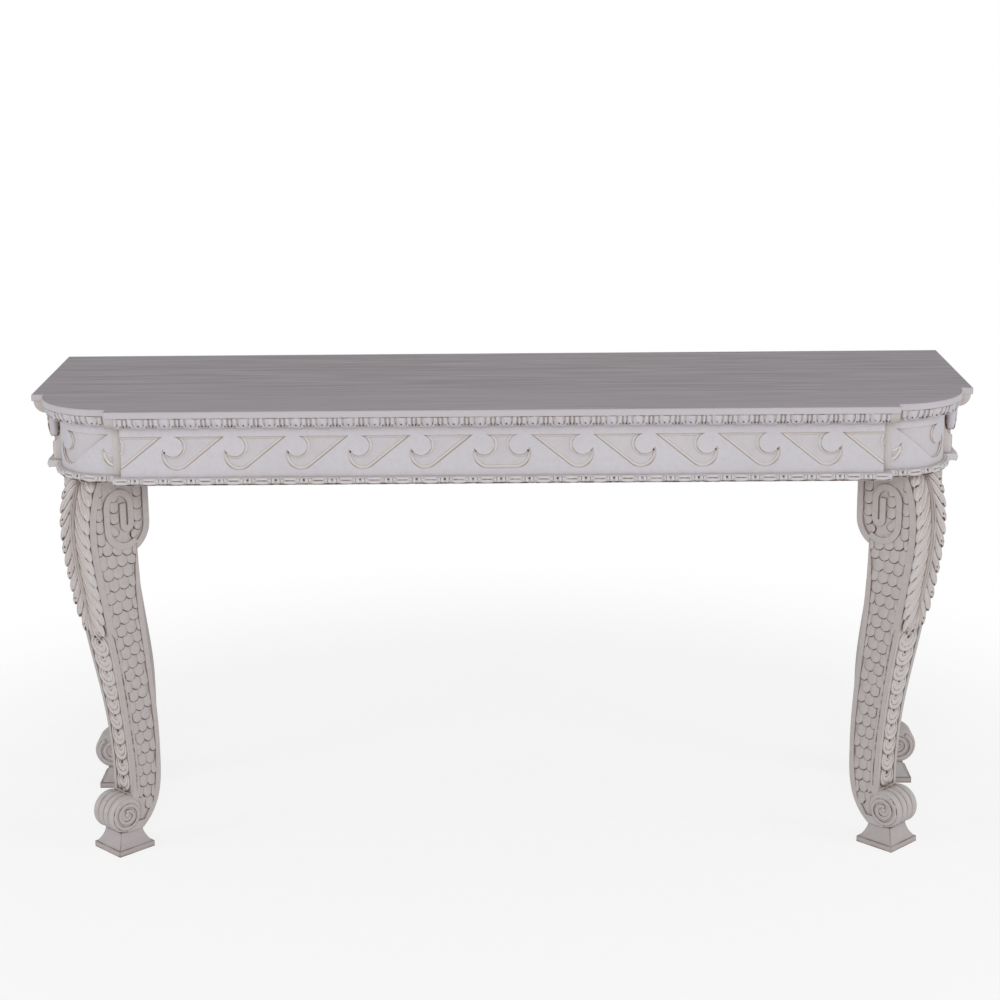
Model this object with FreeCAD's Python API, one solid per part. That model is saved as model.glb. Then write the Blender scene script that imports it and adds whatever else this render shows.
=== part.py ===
# Pier table in carved and painted wood.
# Lengths are in millimetres, +Z is up and the front faces -Y.
# The origin is on the floor, under the middle of the top.
import FreeCAD, Part
import math
import os

# Overall sizes
width = 1720.0
depth = 522.0
height = 882.0
overrun = 3.0  # how far a cutting shape passes the face that it cuts

# Top board: its front corners are rounded and set back from the straight edges
top_thickness = 12.0
top_arris = 1.0
corner_radius = 136.0
front_step = 23.0
side_step = 22.0

# Apron under the top: the corner pieces lap behind the front and side rails
apron_depth = 126.0
frieze_setback = 30.0
rail_end_setback = 22.0
corner_wall = 23.0
corner_lap = 40.0
back_setback = 8.0
back_rail_thickness = 22.0

# Cornice moulding, a quarter round under the edge of the top
cornice_height = 22.0
cornice_projection = 26.0
cornice_fillet = 2.0
cornice_neck = 3.0

# Bead moulding along the bottom of the frieze
bead_height = 12.5
bead_projection = 9.5
bead_flat = 3.5
bead_return = 14.0

# Wave scroll sunk into the frieze: each pocket hooks round a proud round island
wave_pitch = 110.5
wave_count = 6
wave_centre_height = 68.5
wave_middle_half = 31.5
wave_first = 144.0
wave_rise = 18.1
wave_reach = 92.5
wave_depth = 5.0
wave_slope = 5.5
island_radius = 18.5
bowl_radius = 27.0
bowl_shift = 7.0
bowl_drop = 16.5
corner_wave_turn = 32.5  # degrees from the front to the middle of the corner's pocket
side_wave_count = 2
side_wave_first = 147.0

# Oval boss and the cove below it, on the front end of each side rail
boss_radius = 10.0
boss_tip_radius = 2.0
boss_height = 42.0
boss_drop = 27.0
boss_proud = 5.5
boss_steps = 8
cove_depth = 10.0
cove_length = 18.0
cove_top_drop = 50.0
cove_straight = 16.0
cove_rise = 16.0

# Leg: its outline is drawn in shares of its depth and height, from the middle of the plinth
leg_depth = 131.0
leg_thickness = 77.0
ankle_thickness = 60.0
front_band = 14.0
front_band_foot = 18.0
back_band = 13.0
back_band_foot = 9.0
panel_top_band = 6.0
panel_depth = 3.5
channel_depth = 3.0
channel_margin = 8.0
front_line_shares = [(0.29, 1.0), (0.489, 0.895), (0.431, 0.737), (0.269, 0.578),
                     (0.091, 0.409), (-0.008, 0.265), (-0.031, 0.150)]
back_line_shares = [(-0.320, 0.661), (-0.418, 0.495), (-0.533, 0.327), (-0.542, 0.242), (-0.458, 0.118)]
heel_share = -0.175
panel_foot_shares = [(-0.215, 0.075), (-0.105, 0.075), (-0.075, 0.121)]
taper_top_share = 0.57
taper_foot_share = 0.32
channel_top_share = 0.59

# Volute at the top of the leg: a raised band that winds in, drawn with arcs and straight lines
volute_band = 13.0
volute_back = 12.0
volute_drop = 102.0
volute_radius = 38.5
volute_edge_radius = 54.5
volute_cusp_back = 37.0
volute_tail_turn = 38.0  # degrees
volute_top_drop = 64.0
volute_top_radius = 26.25
volute_inner_drop = 99.0
volute_inner_radius = 8.5
volute_end_drop = 59.0

# Scroll foot, a ridged roll across the leg
roll_radius = 36.5
roll_forward = 12.4
roll_proud = 0.8
ridge_count = 4
ridge_depth = 5.0

# Acanthus leaf on the knee
leaf_thickness = 17.0
leaf_tip_thickness = 10.5
leaf_length = 307.0
leaf_overhang = 6.5
leaf_tip_half = 7.0
leaf_shoulder_share = 0.62
lobe_count = 12
lobe_bulge = 4.0

# Plinth
plinth_side = 80.6
plinth_top = 49.0
plinth_height = 40.0
plinth_edge = 11.0
plinth_ledge = 2.5
plinth_hollow_share = 0.6

# Where the legs stand
leg_out = 28.0
leg_forward = 17.0
back_leg_inset = 71.0
back_leg_gap = 46.0

# Joinery inside the apron
tenon_depth = 44.0
tenon_thickness = 28.0
tenon_height = 40.0
tenon_back = 15.0
tenon_clearance = 0.2
block_side = 140.0
block_height = 60.0
block_chamfer = 45.0
back_block_length = 120.0
back_block_depth = 100.0
bearer_width = 60.0
bearer_thickness = 24.0
bearer_housing = 6.0
bearer_end_gap = 50.0
screw_rows_share = 0.3
screw_radius = 2.25
screw_head_radius = 4.5
screw_head_height = 2.5
screw_length = 30.0
bolt_radius = 4.0
bolt_head_radius = 7.0
bolt_head_height = 5.5
bolt_length = 52.0
dowel_radius = 5.0
dowel_length = 38.0
dowel_in_side = 14.0
foot_dowel_radius = 6.0
foot_dowel_length = 44.0
foot_dowel_in_plinth = 22.0
dowel_height_shares = [0.25, 0.75]

# Values that follow from the sizes above
apron_top = height - top_thickness
apron_bottom = apron_top - apron_depth
corner_x = width / 2 - side_step - corner_radius
corner_y = corner_radius + front_step - depth / 2
frieze_radius = corner_radius - frieze_setback
front_face = -depth / 2 + frieze_setback
front_back = front_face + front_step
side_face = width / 2 - frieze_setback
side_back = side_face - side_step
rail_half = corner_x - rail_end_setback
side_front = corner_y + rail_end_setback
frame_back = depth / 2 - back_setback
back_rail_front = frame_back - back_rail_thickness
corner_inner_radius = frieze_radius - corner_wall
bearer_offset = rail_half - corner_lap - bearer_end_gap - bearer_width / 2
wave_z = apron_bottom + wave_centre_height
front_leg_x = corner_x + leg_out
front_leg_y = corner_y - leg_forward
back_leg_x = width / 2 - back_leg_inset
back_leg_y = depth / 2 - back_leg_gap
leg_height = apron_bottom
roll_z = plinth_height + roll_radius

up = FreeCAD.Vector(0, 0, 1)
origin = FreeCAD.Vector(0, 0, 0)


def save(node, shape):
    shape.exportStep("parts/" + node + ".step")
    print(node, "solids", len(shape.Solids), "volume", round(shape.Volume))


def mirrored(shape):
    return shape.mirror(origin, FreeCAD.Vector(1, 0, 0))


def save_pair(node, left_shape):
    save(node + "_left", left_shape)
    save(node + "_right", mirrored(left_shape))


def box(low, high):
    size = [b - a for a, b in zip(low, high)]
    return Part.makeBox(size[0], size[1], size[2], FreeCAD.Vector(*low))


def line(a, b):
    return Part.LineSegment(a, b).toShape()


def arc(a, b, c):
    return Part.Arc(a, b, c).toShape()


def spline(points):
    curve = Part.BSplineCurve()
    curve.interpolate(points)
    return curve.toShape()


def chain(points):
    return [line(a, b) for a, b in zip(points, points[1:])]


def flat_face(edges):
    return Part.Face(Part.Wire(Part.__sortEdges__(edges)))


def turned(shape, angle, x, y):
    copy = shape.copy()
    copy.rotate(origin, up, angle)
    copy.translate(FreeCAD.Vector(x, y, 0))
    return copy


# Top board, drawn as half an outline on the left and its mirror image
def top_board():
    def point(x, y):
        return FreeCAD.Vector(x, y, apron_top)

    bend = corner_radius * math.sqrt(0.5)
    edges = []
    for side in (-1, 1):
        edges += chain([point(0, -depth / 2), point(side * corner_x, -depth / 2),
                        point(side * corner_x, corner_y - corner_radius)])
        edges.append(arc(point(side * corner_x, corner_y - corner_radius),
                         point(side * (corner_x + bend), corner_y - bend),
                         point(side * (corner_x + corner_radius), corner_y)))
        edges += chain([point(side * (corner_x + corner_radius), corner_y), point(side * width / 2, corner_y),
                        point(side * width / 2, depth / 2), point(0, depth / 2)])
    board = flat_face(edges).extrude(up * top_thickness).removeSplitter()
    top_edges = [e for e in board.Edges if e.BoundBox.ZMin > height - top_thickness / 2]
    return board.makeChamfer(top_arris, top_edges)


# Moulding sections, drawn as distance out from the frieze against height
def cornice_section():
    bottom = apron_top - cornice_height
    reach = cornice_projection - cornice_neck
    drop = cornice_height - cornice_fillet
    middle = (cornice_neck + reach * math.sqrt(0.5), apron_top - cornice_fillet - drop * math.sqrt(0.5))
    straight = [(cornice_neck, bottom), (0, bottom), (0, apron_top), (cornice_projection, apron_top),
                (cornice_projection, apron_top - cornice_fillet)]
    return straight, middle


def bead_section():
    top = apron_bottom + bead_height
    straight = [(bead_flat, top), (0, top), (0, apron_bottom), (bead_flat, apron_bottom)]
    return straight, (bead_projection, apron_bottom + bead_height / 2)


# The section as a face at the left end of the front run, or on the corner's front radius
def section_face(section, x, y):
    straight, middle = section
    points = [FreeCAD.Vector(x, y - out, z) for out, z in straight]
    bulge = FreeCAD.Vector(x, y - middle[0], middle[1])
    return flat_face(chain(points) + [arc(points[-1], bulge, points[0])])


def front_moulding(section, half_length, low, high):
    run = section_face(section, -half_length, front_face).extrude(FreeCAD.Vector(2 * half_length, 0, 0))
    left_return = box((-half_length, front_face, low), (-rail_half, front_back, high))
    return run.fuse([left_return, mirrored(left_return)]).removeSplitter()


def corner_moulding(section, straight_length):
    face = section_face(section, -corner_x, corner_y - frieze_radius)
    bend = face.revolve(FreeCAD.Vector(-corner_x, corner_y, 0), up, -90)
    if straight_length == 0:
        return bend
    front_bit = face.extrude(FreeCAD.Vector(straight_length, 0, 0))
    side = face.copy()
    side.rotate(FreeCAD.Vector(-corner_x, corner_y, 0), up, -90)
    side_bit = side.extrude(FreeCAD.Vector(0, straight_length, 0))
    return bend.fuse([front_bit, side_bit]).removeSplitter()


def side_moulding(section, front_end, low, high):
    face = turned(section_face(section, 0, 0), -90, -side_face, front_end)
    run = face.extrude(FreeCAD.Vector(0, frame_back - front_end, 0))
    end_block = box((-side_face, front_end, low), (-side_back, side_front, high))
    return run.fuse(end_block).removeSplitter()


# One wave pocket: island and bowl circles, a straight top and a slope that rises from the bowl
class WaveOutline:
    def __init__(self, inset):
        self.island = island_radius + inset
        self.bowl = bowl_radius - inset
        self.top = wave_rise - inset
        corner = (wave_reach, wave_rise)
        run = (bowl_shift - corner[0], -bowl_drop - corner[1])
        distance = math.hypot(*run)
        slope = math.atan2(run[1], run[0]) + math.asin(bowl_radius / distance)
        half_corner = (slope % (2 * math.pi) - math.pi) / 2
        self.corner = (corner[0] - inset / math.tan(half_corner), self.top)
        self.tangent = (bowl_shift + self.bowl * math.sin(math.pi + slope),
                        -bowl_drop - self.bowl * math.cos(math.pi + slope))
        self.start = (math.sqrt(self.island ** 2 - self.top ** 2), self.top)
        self.tip = self.hook_tip()

    # The hook's tip is where the two circles cross on the outer side
    def hook_tip(self):
        gap = math.hypot(bowl_shift, bowl_drop)
        along = (gap ** 2 + self.island ** 2 - self.bowl ** 2) / (2 * gap)
        across = math.sqrt(self.island ** 2 - along ** 2)
        unit = (bowl_shift / gap, -bowl_drop / gap)
        return along * unit[0] + across * unit[1], along * unit[1] - across * unit[0]

    def island_middle(self):
        start = math.atan2(self.start[1], self.start[0])
        end = math.atan2(self.tip[1], self.tip[0]) % (2 * math.pi) - 2 * math.pi
        turn = (start + end) / 2
        return self.island * math.cos(turn), self.island * math.sin(turn)

    # Halfway along the bowl, from the hook's tip to the point where the bowl ends
    def bowl_middle(self, end):
        a = math.atan2(self.tip[1] + bowl_drop, self.tip[0] - bowl_shift) % (2 * math.pi)
        b = math.atan2(end[1] + bowl_drop, end[0] - bowl_shift) % (2 * math.pi)
        turn = (a + b) / 2
        return bowl_shift + self.bowl * math.cos(turn), -bowl_drop + self.bowl * math.sin(turn)

    def bowl_bottom(self):
        return bowl_shift, -bowl_drop - self.bowl

    # Single pocket, as a wire at a depth behind the frieze's face
    def wire(self, x, sunk):
        def point(p):
            return FreeCAD.Vector(x + p[0], sunk, wave_z + p[1])

        return Part.Wire([line(point(self.corner), point(self.start)),
                          arc(point(self.start), point(self.island_middle()), point(self.tip)),
                          arc(point(self.tip), point(self.bowl_middle(self.tangent)), point(self.tangent)),
                          line(point(self.tangent), point(self.corner))])

    # Middle pocket, the same on both sides of the middle
    def middle_wire(self, sunk):
        def point(side, p):
            return FreeCAD.Vector(side * (wave_middle_half - p[0]), sunk, wave_z + p[1])

        edges = [line(point(1, self.start), point(-1, self.start))]
        for side in (-1, 1):
            edges.append(arc(point(side, self.start), point(side, self.island_middle()),
                             point(side, self.tip)))
            edges.append(arc(point(side, self.tip), point(side, self.bowl_middle(self.bowl_bottom())),
                             point(side, self.bowl_bottom())))
        edges.append(line(point(-1, self.bowl_bottom()), point(1, self.bowl_bottom())))
        return Part.Wire(Part.__sortEdges__(edges))


face_outline = WaveOutline(0)
floor_outline = WaveOutline(wave_slope)


# Cutters with sloping walls, for a flat frieze that faces -Y at y = 0
def wave_cutter(x):
    rim = face_outline.wire(x, 0)
    cutter = Part.makeLoft([rim, floor_outline.wire(x, wave_depth)], True, True)
    return cutter.fuse(Part.Face(rim).extrude(FreeCAD.Vector(0, -overrun, 0)))


def middle_cutter():
    rim = face_outline.middle_wire(0)
    cutter = Part.makeLoft([rim, floor_outline.middle_wire(wave_depth)], True, True)
    return cutter.fuse(Part.Face(rim).extrude(FreeCAD.Vector(0, -overrun, 0)))


def wave_islands():
    return [-wave_first - i * wave_pitch for i in range(wave_count)]


def frieze_front():
    rail = box((-rail_half, front_face, apron_bottom), (rail_half, front_back, apron_top))
    cutters = [middle_cutter()]
    for x in wave_islands():
        cutters += [wave_cutter(x), mirrored(wave_cutter(x))]
    for cutter in cutters:
        cutter.translate(FreeCAD.Vector(0, front_face, 0))
    return rail.cut(cutters + bearers() + lap_screws())


# Curved corner: a quarter ring with a straight lap behind each rail it joins
def frieze_corner():
    centre = FreeCAD.Vector(-corner_x, corner_y, apron_bottom)
    ring = Part.makeCylinder(frieze_radius, apron_depth, centre)
    ring = ring.cut(Part.makeCylinder(corner_inner_radius, apron_depth, centre))
    quarter = ring.common(box((-corner_x - frieze_radius, corner_y - frieze_radius, apron_bottom),
                              (-corner_x, corner_y, apron_top)))
    front_lap = box((-corner_x, front_back, apron_bottom),
                    (-rail_half + corner_lap, front_back + corner_wall, apron_top))
    side_lap = box((-side_back, corner_y, apron_bottom),
                   (-side_back + corner_wall, side_front + corner_lap, apron_top))
    corner = quarter.fuse([front_lap, side_lap]).removeSplitter()
    return corner.cut([corner_wave(), straddling_wave()] + lap_screws())


# The corner's own pocket has a floor that follows the curve
def corner_wave():
    half = (wave_reach + face_outline.tip[0]) / 2
    prism = Part.Face(face_outline.wire(-half, 0)).extrude(FreeCAD.Vector(0, -frieze_radius - overrun, 0))
    prism = turned(prism, -corner_wave_turn, -corner_x, corner_y)
    floor = Part.makeCylinder(frieze_radius - wave_depth, apron_depth,
                              FreeCAD.Vector(-corner_x, corner_y, apron_bottom))
    return prism.cut(floor)


# The hook of the last front pocket runs on past the end of the front rail
def straddling_wave():
    cutter = wave_cutter(wave_islands()[-1])
    cutter.translate(FreeCAD.Vector(0, front_back, 0))
    keep = box((-corner_x - frieze_radius, front_back - overrun, apron_bottom),
               (-rail_half, front_back + wave_depth, apron_top))
    return cutter.common(keep)


def frieze_side():
    rail = box((-side_face, side_front, apron_bottom), (-side_back, frame_back, apron_top))
    cutters = [turned(wave_cutter(-side_wave_first - i * wave_pitch), -90, -side_face, side_front)
               for i in range(side_wave_count)]
    return rail.cut(cutters + [side_cove()] + lap_screws() + rail_dowels())


# Cove that hollows the front end of the side rail below the boss
def side_cove():
    def point(inward, z):
        return FreeCAD.Vector(-side_face + inward, side_front - overrun, z)

    top = apron_top - cove_top_drop
    bend = top - cove_straight
    bulge = math.sqrt(0.5)
    edges = chain([point(-overrun, bend - cove_rise), point(-overrun, top), point(cove_depth, top),
                   point(cove_depth, bend)])
    edges.append(arc(point(cove_depth, bend),
                     point(cove_depth * bulge, bend - cove_rise * bulge), point(0, bend - cove_rise)))
    edges.append(line(point(0, bend - cove_rise), point(-overrun, bend - cove_rise)))
    return flat_face(edges).extrude(FreeCAD.Vector(0, cove_length + overrun, 0))


# Oval boss, half of an egg on the end of the side rail, turned in straight steps that keep it light
def end_boss():
    middle = FreeCAD.Vector(-side_face + boss_radius - boss_proud, side_front,
                            apron_top - cornice_height - boss_drop)
    half = boss_height / 2
    swell = boss_radius - boss_tip_radius
    sweep = (half ** 2 + swell ** 2) / (2 * swell)
    reach = math.asin(half / sweep)
    points = [middle + up * half, middle - up * half]
    for i in range(boss_steps + 1):
        turn = reach * (2 * i / boss_steps - 1)
        out = boss_radius - sweep * (1 - math.cos(turn))
        points.append(middle + FreeCAD.Vector(-out, 0, sweep * math.sin(turn)))
    return flat_face(chain(points + points[:1])).revolve(middle, up, 180)


def back_rail():
    rail = box((-side_back, back_rail_front, apron_bottom), (side_back, frame_back, apron_top))
    return rail.cut(bearers() + rail_dowels())


# Fasteners and dowels: the same solids cut the holes that they sit in
def wood_screw():
    profile = [(0, 0), (screw_head_radius, 0), (screw_radius, screw_head_height),
               (screw_radius, screw_length - screw_radius), (0, screw_length), (0, 0)]
    points = [FreeCAD.Vector(r, 0, z) for r, z in profile]
    return flat_face(chain(points)).revolve(origin, up, 360)


def coach_screw():
    head = Part.makeCylinder(bolt_head_radius, bolt_head_height)
    shank = Part.makeCylinder(bolt_radius, bolt_length, origin, -up)
    return head.fuse(shank).removeSplitter()


def top_screws():
    screws = []
    for x in (-bearer_offset, 0, bearer_offset):
        for row in (-1, 1):
            screw = wood_screw()
            screw.translate(FreeCAD.Vector(x, row * screw_rows_share * depth, apron_top - bearer_thickness))
            screws.append(screw)
    return screws


def lap_screws():
    screws = []
    for share in dowel_height_shares:
        z = apron_bottom + share * apron_depth
        front = wood_screw()
        front.rotate(origin, FreeCAD.Vector(1, 0, 0), 90)
        front.translate(FreeCAD.Vector(-rail_half + corner_lap / 2, front_back + corner_wall, z))
        side = wood_screw()
        side.rotate(origin, FreeCAD.Vector(0, 1, 0), -90)
        side.translate(FreeCAD.Vector(-side_back + corner_wall, side_front + corner_lap / 2, z))
        screws += [front, side, mirrored(front), mirrored(side)]
    return screws


def rail_dowels():
    dowels = []
    for share in dowel_height_shares:
        place = FreeCAD.Vector(-side_back - dowel_in_side, frame_back - back_rail_thickness / 2,
                               apron_bottom + share * apron_depth)
        dowel = Part.makeCylinder(dowel_radius, dowel_length, place, FreeCAD.Vector(1, 0, 0))
        dowels += [dowel, mirrored(dowel)]
    return dowels


def bearers():
    low = (-bearer_width / 2, front_back - bearer_housing, apron_top - bearer_thickness)
    high = (bearer_width / 2, back_rail_front + bearer_housing, apron_top)
    return [turned(box(low, high), 0, x, 0) for x in (-bearer_offset, 0, bearer_offset)]


# Leg, drawn with its outer side towards +X and the middle of its plinth at the origin
def leg_point(shares, shift=0):
    return FreeCAD.Vector(shares[0] * leg_depth + shift, 0, shares[1] * leg_height)


# The front and back bands grow or shrink evenly from the top of the leg to its foot
def band_width(top, foot, share):
    return foot + (top - foot) * share


# A point on a circle of the volute, by its middle, radius and direction in degrees
def volute_point(back, drop, radius, turn):
    angle = math.radians(turn)
    return FreeCAD.Vector(radius * math.cos(angle) - back, 0, leg_height - drop + radius * math.sin(angle))


# Outer edge of the volute: straight down from the top, then round to the cusp behind the leg
def volute_edge(inset):
    radius = volute_edge_radius - inset
    end = 180 + math.degrees(math.acos((volute_cusp_back - volute_back) / radius))
    start, middle, cusp = [volute_point(volute_back, volute_drop, radius, turn)
                           for turn in (180, (180 + end) / 2, end)]
    top = FreeCAD.Vector(start.x, 0, leg_height)
    return top, cusp, [line(top, start), arc(start, middle, cusp)]


def leg_outline():
    front = [leg_point(p) for p in front_line_shares]
    top, cusp, edge = volute_edge(0)
    heel = FreeCAD.Vector(heel_share * leg_depth, 0, plinth_height)
    back = [cusp] + [leg_point(p) for p in back_line_shares] + [heel]
    roll = FreeCAD.Vector(roll_forward, 0, roll_z)
    sole = FreeCAD.Vector(roll_forward, 0, plinth_height)
    edges = edge + [spline(front), line(front[0], top), spline(back)]
    return flat_face(edges + chain([heel, sole, roll, front[-1]]))


# What the leg is sawn to as seen from the front: wide above, slimmer at the ankle
def thickness_solid(inset):
    top_half = leg_thickness / 2 - inset
    foot_half = ankle_thickness / 2 - inset
    taper_top = taper_top_share * leg_height
    taper_foot = taper_foot_share * leg_height
    edges = []
    for side in (-1, 1):
        def point(half, z):
            return FreeCAD.Vector(0, side * half, z)

        third = (taper_top - taper_foot) / 3
        bend = Part.BezierCurve()
        bend.setPoles([point(top_half, taper_top), point(top_half, taper_top - third),
                       point(foot_half, taper_foot + third), point(foot_half, taper_foot)])
        edges += [line(point(0, leg_height), point(top_half, leg_height)),
                  line(point(top_half, leg_height), point(top_half, taper_top)), bend.toShape(),
                  line(point(foot_half, taper_foot), point(foot_half, 0)), line(point(foot_half, 0), origin)]
    solid = flat_face(edges).extrude(FreeCAD.Vector(4 * leg_depth, 0, 0))
    solid.translate(FreeCAD.Vector(-2 * leg_depth, 0, 0))
    return solid


def across(face):
    solid = face.extrude(FreeCAD.Vector(0, 2 * leg_thickness, 0))
    solid.translate(FreeCAD.Vector(0, -leg_thickness, 0))
    return solid


def below(z):
    return box((-leg_depth, -leg_thickness, 0), (leg_depth, leg_thickness, z))


# Sunk side panel inside the raised bands, with a foot that runs in behind the scroll's disc
def panel_outline():
    front = [leg_point(p, -band_width(front_band, front_band_foot, p[1])) for p in front_line_shares]
    top, cusp, edge = volute_edge(back_band)
    back = [leg_point(p, band_width(back_band, back_band_foot, p[1])) for p in back_line_shares]
    foot = [leg_point(p) for p in panel_foot_shares]
    edges = edge + [spline(front), line(front[0], top), spline([cusp] + back)]
    return flat_face(edges + chain([back[-1]] + foot + [front[-1]]))


# Raised band that winds in on the volute at the top of the leg
def volute_outline():
    def side(shift):
        outer = [volute_point(volute_back, volute_drop, volute_radius + shift, turn)
                 for turn in (270 - volute_tail_turn, 315, 360)]
        top_back = volute_back - volute_radius + volute_top_radius
        over = [volute_point(top_back, volute_top_drop, volute_top_radius + shift, turn)
                for turn in (0, 90, 180)]
        inner_back = top_back + volute_top_radius - volute_inner_radius
        under = [volute_point(inner_back, volute_inner_drop, volute_inner_radius + shift, turn)
                 for turn in (180, 270, 360)]
        end = FreeCAD.Vector(under[-1].x, 0, leg_height - volute_end_drop)
        edges = [arc(*outer), line(outer[-1], over[0]), arc(*over), line(over[-1], under[0]),
                 arc(*under), line(under[-1], end)]
        return outer[0], end, edges

    start_a, end_a, edges_a = side(-volute_band / 2)
    start_b, end_b, edges_b = side(volute_band / 2)
    return flat_face(edges_a + edges_b + [line(start_a, start_b), line(end_a, end_b)])


# Channel down the front of the leg, between two raised edges
def front_channel():
    inner = [leg_point(p, -channel_depth) for p in front_line_shares]
    outer = [leg_point(p, overrun) for p in front_line_shares]
    strip = flat_face([spline(inner), spline(outer), line(inner[0], outer[0]), line(inner[-1], outer[-1])])
    return across(strip).common(thickness_solid(channel_margin)).common(below(channel_top_share * leg_height))


# Scroll foot with rounded ridges round it
def foot_roll():
    half = ankle_thickness / 2 + roll_proud
    ridge = 2 * half / ridge_count
    groove = roll_radius - ridge_depth

    def point(y, r):
        return FreeCAD.Vector(0, y, r)

    edges = chain([point(-half, groove), point(-half, 0), point(half, 0), point(half, groove)])
    for i in range(ridge_count):
        start = -half + i * ridge
        edges.append(arc(point(start, groove), point(start + ridge / 2, roll_radius),
                         point(start + ridge, groove)))
    roll = flat_face(edges).revolve(origin, FreeCAD.Vector(0, 1, 0), 360)
    roll.translate(FreeCAD.Vector(roll_forward, 0, roll_z))
    return roll


def tenon(clearance):
    half_depth = tenon_depth / 2 + clearance
    half_thickness = tenon_thickness / 2 + clearance
    return box((-tenon_back - half_depth, -half_thickness, leg_height),
               (-tenon_back + half_depth, half_thickness, leg_height + tenon_height + clearance))


def leg():
    blank = across(leg_outline()).common(thickness_solid(0))
    sunk = across(panel_outline().cut(volute_outline())).cut(thickness_solid(panel_depth))
    sunk = sunk.common(below(leg_height - panel_top_band))
    carved = blank.cut([sunk, front_channel()])
    whole = carved.fuse([foot_roll(), tenon(0)]).removeSplitter()
    return whole.cut([leg_bolt(), foot_dowel()])


def leg_bolt():
    bolt = coach_screw()
    bolt.translate(FreeCAD.Vector(-tenon_back, 0, leg_height + block_height))
    return bolt


def foot_dowel():
    return Part.makeCylinder(foot_dowel_radius, foot_dowel_length,
                             FreeCAD.Vector(0, 0, plinth_height - foot_dowel_in_plinth))


# Acanthus leaf that lies on the front of the knee, with lobes along both edges
def leaf():
    bottom = leg_height - leaf_length
    outer = []
    for p in front_line_shares:
        fall = (1 - p[1]) * leg_height / leaf_length
        outer.append(leg_point(p, leaf_thickness + (leaf_tip_thickness - leaf_thickness) * fall))
    back = [FreeCAD.Vector(0, 0, outer[-1].z), FreeCAD.Vector(0, 0, leg_height)]
    slab = across(flat_face([spline(outer)] + chain([outer[-1]] + back + [outer[0]])))
    slab = slab.cut(across(leg_outline()))
    edges = []
    for side in (-1, 1):
        points = []
        for i in range(lobe_count + 1):
            fall = i / lobe_count
            points.append(FreeCAD.Vector(0, side * leaf_half_width(fall), leg_height - fall * leaf_length))
        for a, b in zip(points, points[1:]):
            bulge = FreeCAD.Vector(0, side * lobe_bulge, 0)
            edges.append(arc(a, (a + b) / 2 + bulge, b))
        edges.append(line(FreeCAD.Vector(0, 0, leg_height), points[0]))
        edges.append(line(FreeCAD.Vector(0, 0, bottom), points[-1]))
    shape = flat_face(edges).extrude(FreeCAD.Vector(2 * leg_depth, 0, 0))
    shape.translate(FreeCAD.Vector(-leg_depth, 0, 0))
    return slab.common(shape)


def leaf_half_width(fall):
    full = leg_thickness / 2 + leaf_overhang - lobe_bulge
    if fall < leaf_shoulder_share:
        return full
    down = (fall - leaf_shoulder_share) / (1 - leaf_shoulder_share)
    return full + (leaf_tip_half - full) * down ** 2


# Plinth: a flat edge, a ledge and a hollow flare on all four sides
def plinth():
    half = plinth_side / 2
    top_half = plinth_top / 2
    foot_half = half - plinth_ledge

    def point(out, z):
        return FreeCAD.Vector(out, 0, z)

    rise = plinth_height - plinth_edge
    edges = [line(point(-half, 0), point(half, 0)),
             line(point(-top_half, plinth_height), point(top_half, plinth_height))]
    for side in (-1, 1):
        edges += chain([point(side * half, 0), point(side * half, plinth_edge),
                        point(side * foot_half, plinth_edge)])
        hollow = point(side * (foot_half - (foot_half - top_half) * plinth_hollow_share),
                       plinth_edge + rise * (1 - plinth_hollow_share))
        edges.append(arc(point(side * foot_half, plinth_edge), hollow, point(side * top_half, plinth_height)))
    one_way = flat_face(edges).extrude(FreeCAD.Vector(0, plinth_side, 0))
    one_way.translate(FreeCAD.Vector(0, -half, 0))
    other_way = turned(one_way, 90, 0, 0)
    return one_way.common(other_way).cut(foot_dowel())


# Where each left leg stands: name, turn about Z, x and y
leg_places = [("front", 225, -front_leg_x, front_leg_y), ("back", 180, -back_leg_x, back_leg_y)]


def upright_edges(block, corner):
    def near(edge):
        middle = edge.BoundBox.Center
        return math.hypot(middle.x - corner[0], middle.y - corner[1]) < overrun

    return [edge for edge in block.Edges if near(edge)]


# Blocks in the corners of the apron, each with a mortise for the leg's tenon
def leg_block(place):
    name, angle, x, y = place
    top = apron_bottom + block_height
    if name == "front":
        low = (-corner_x - corner_inner_radius, corner_y - corner_inner_radius, apron_bottom)
        block = box(low, (low[0] + block_side, low[1] + block_side, top))
        far = (low[0] + block_side, low[1] + block_side)
        block = block.makeFillet(corner_inner_radius, upright_edges(block, low))
        block = block.makeChamfer(block_chamfer, upright_edges(block, far))
    else:
        block = box((-side_back, back_rail_front - back_block_depth, apron_bottom),
                    (-side_back + back_block_length, back_rail_front, top))
    mortise = turned(tenon(tenon_clearance), angle, x, y)
    return block.cut([mortise, turned(leg_bolt(), angle, x, y)])


def at_all_legs(shape):
    placed = [turned(shape, angle, x, y) for name, angle, x, y in leg_places]
    return placed + [mirrored(p) for p in placed]


os.makedirs("parts", exist_ok=True)

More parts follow.
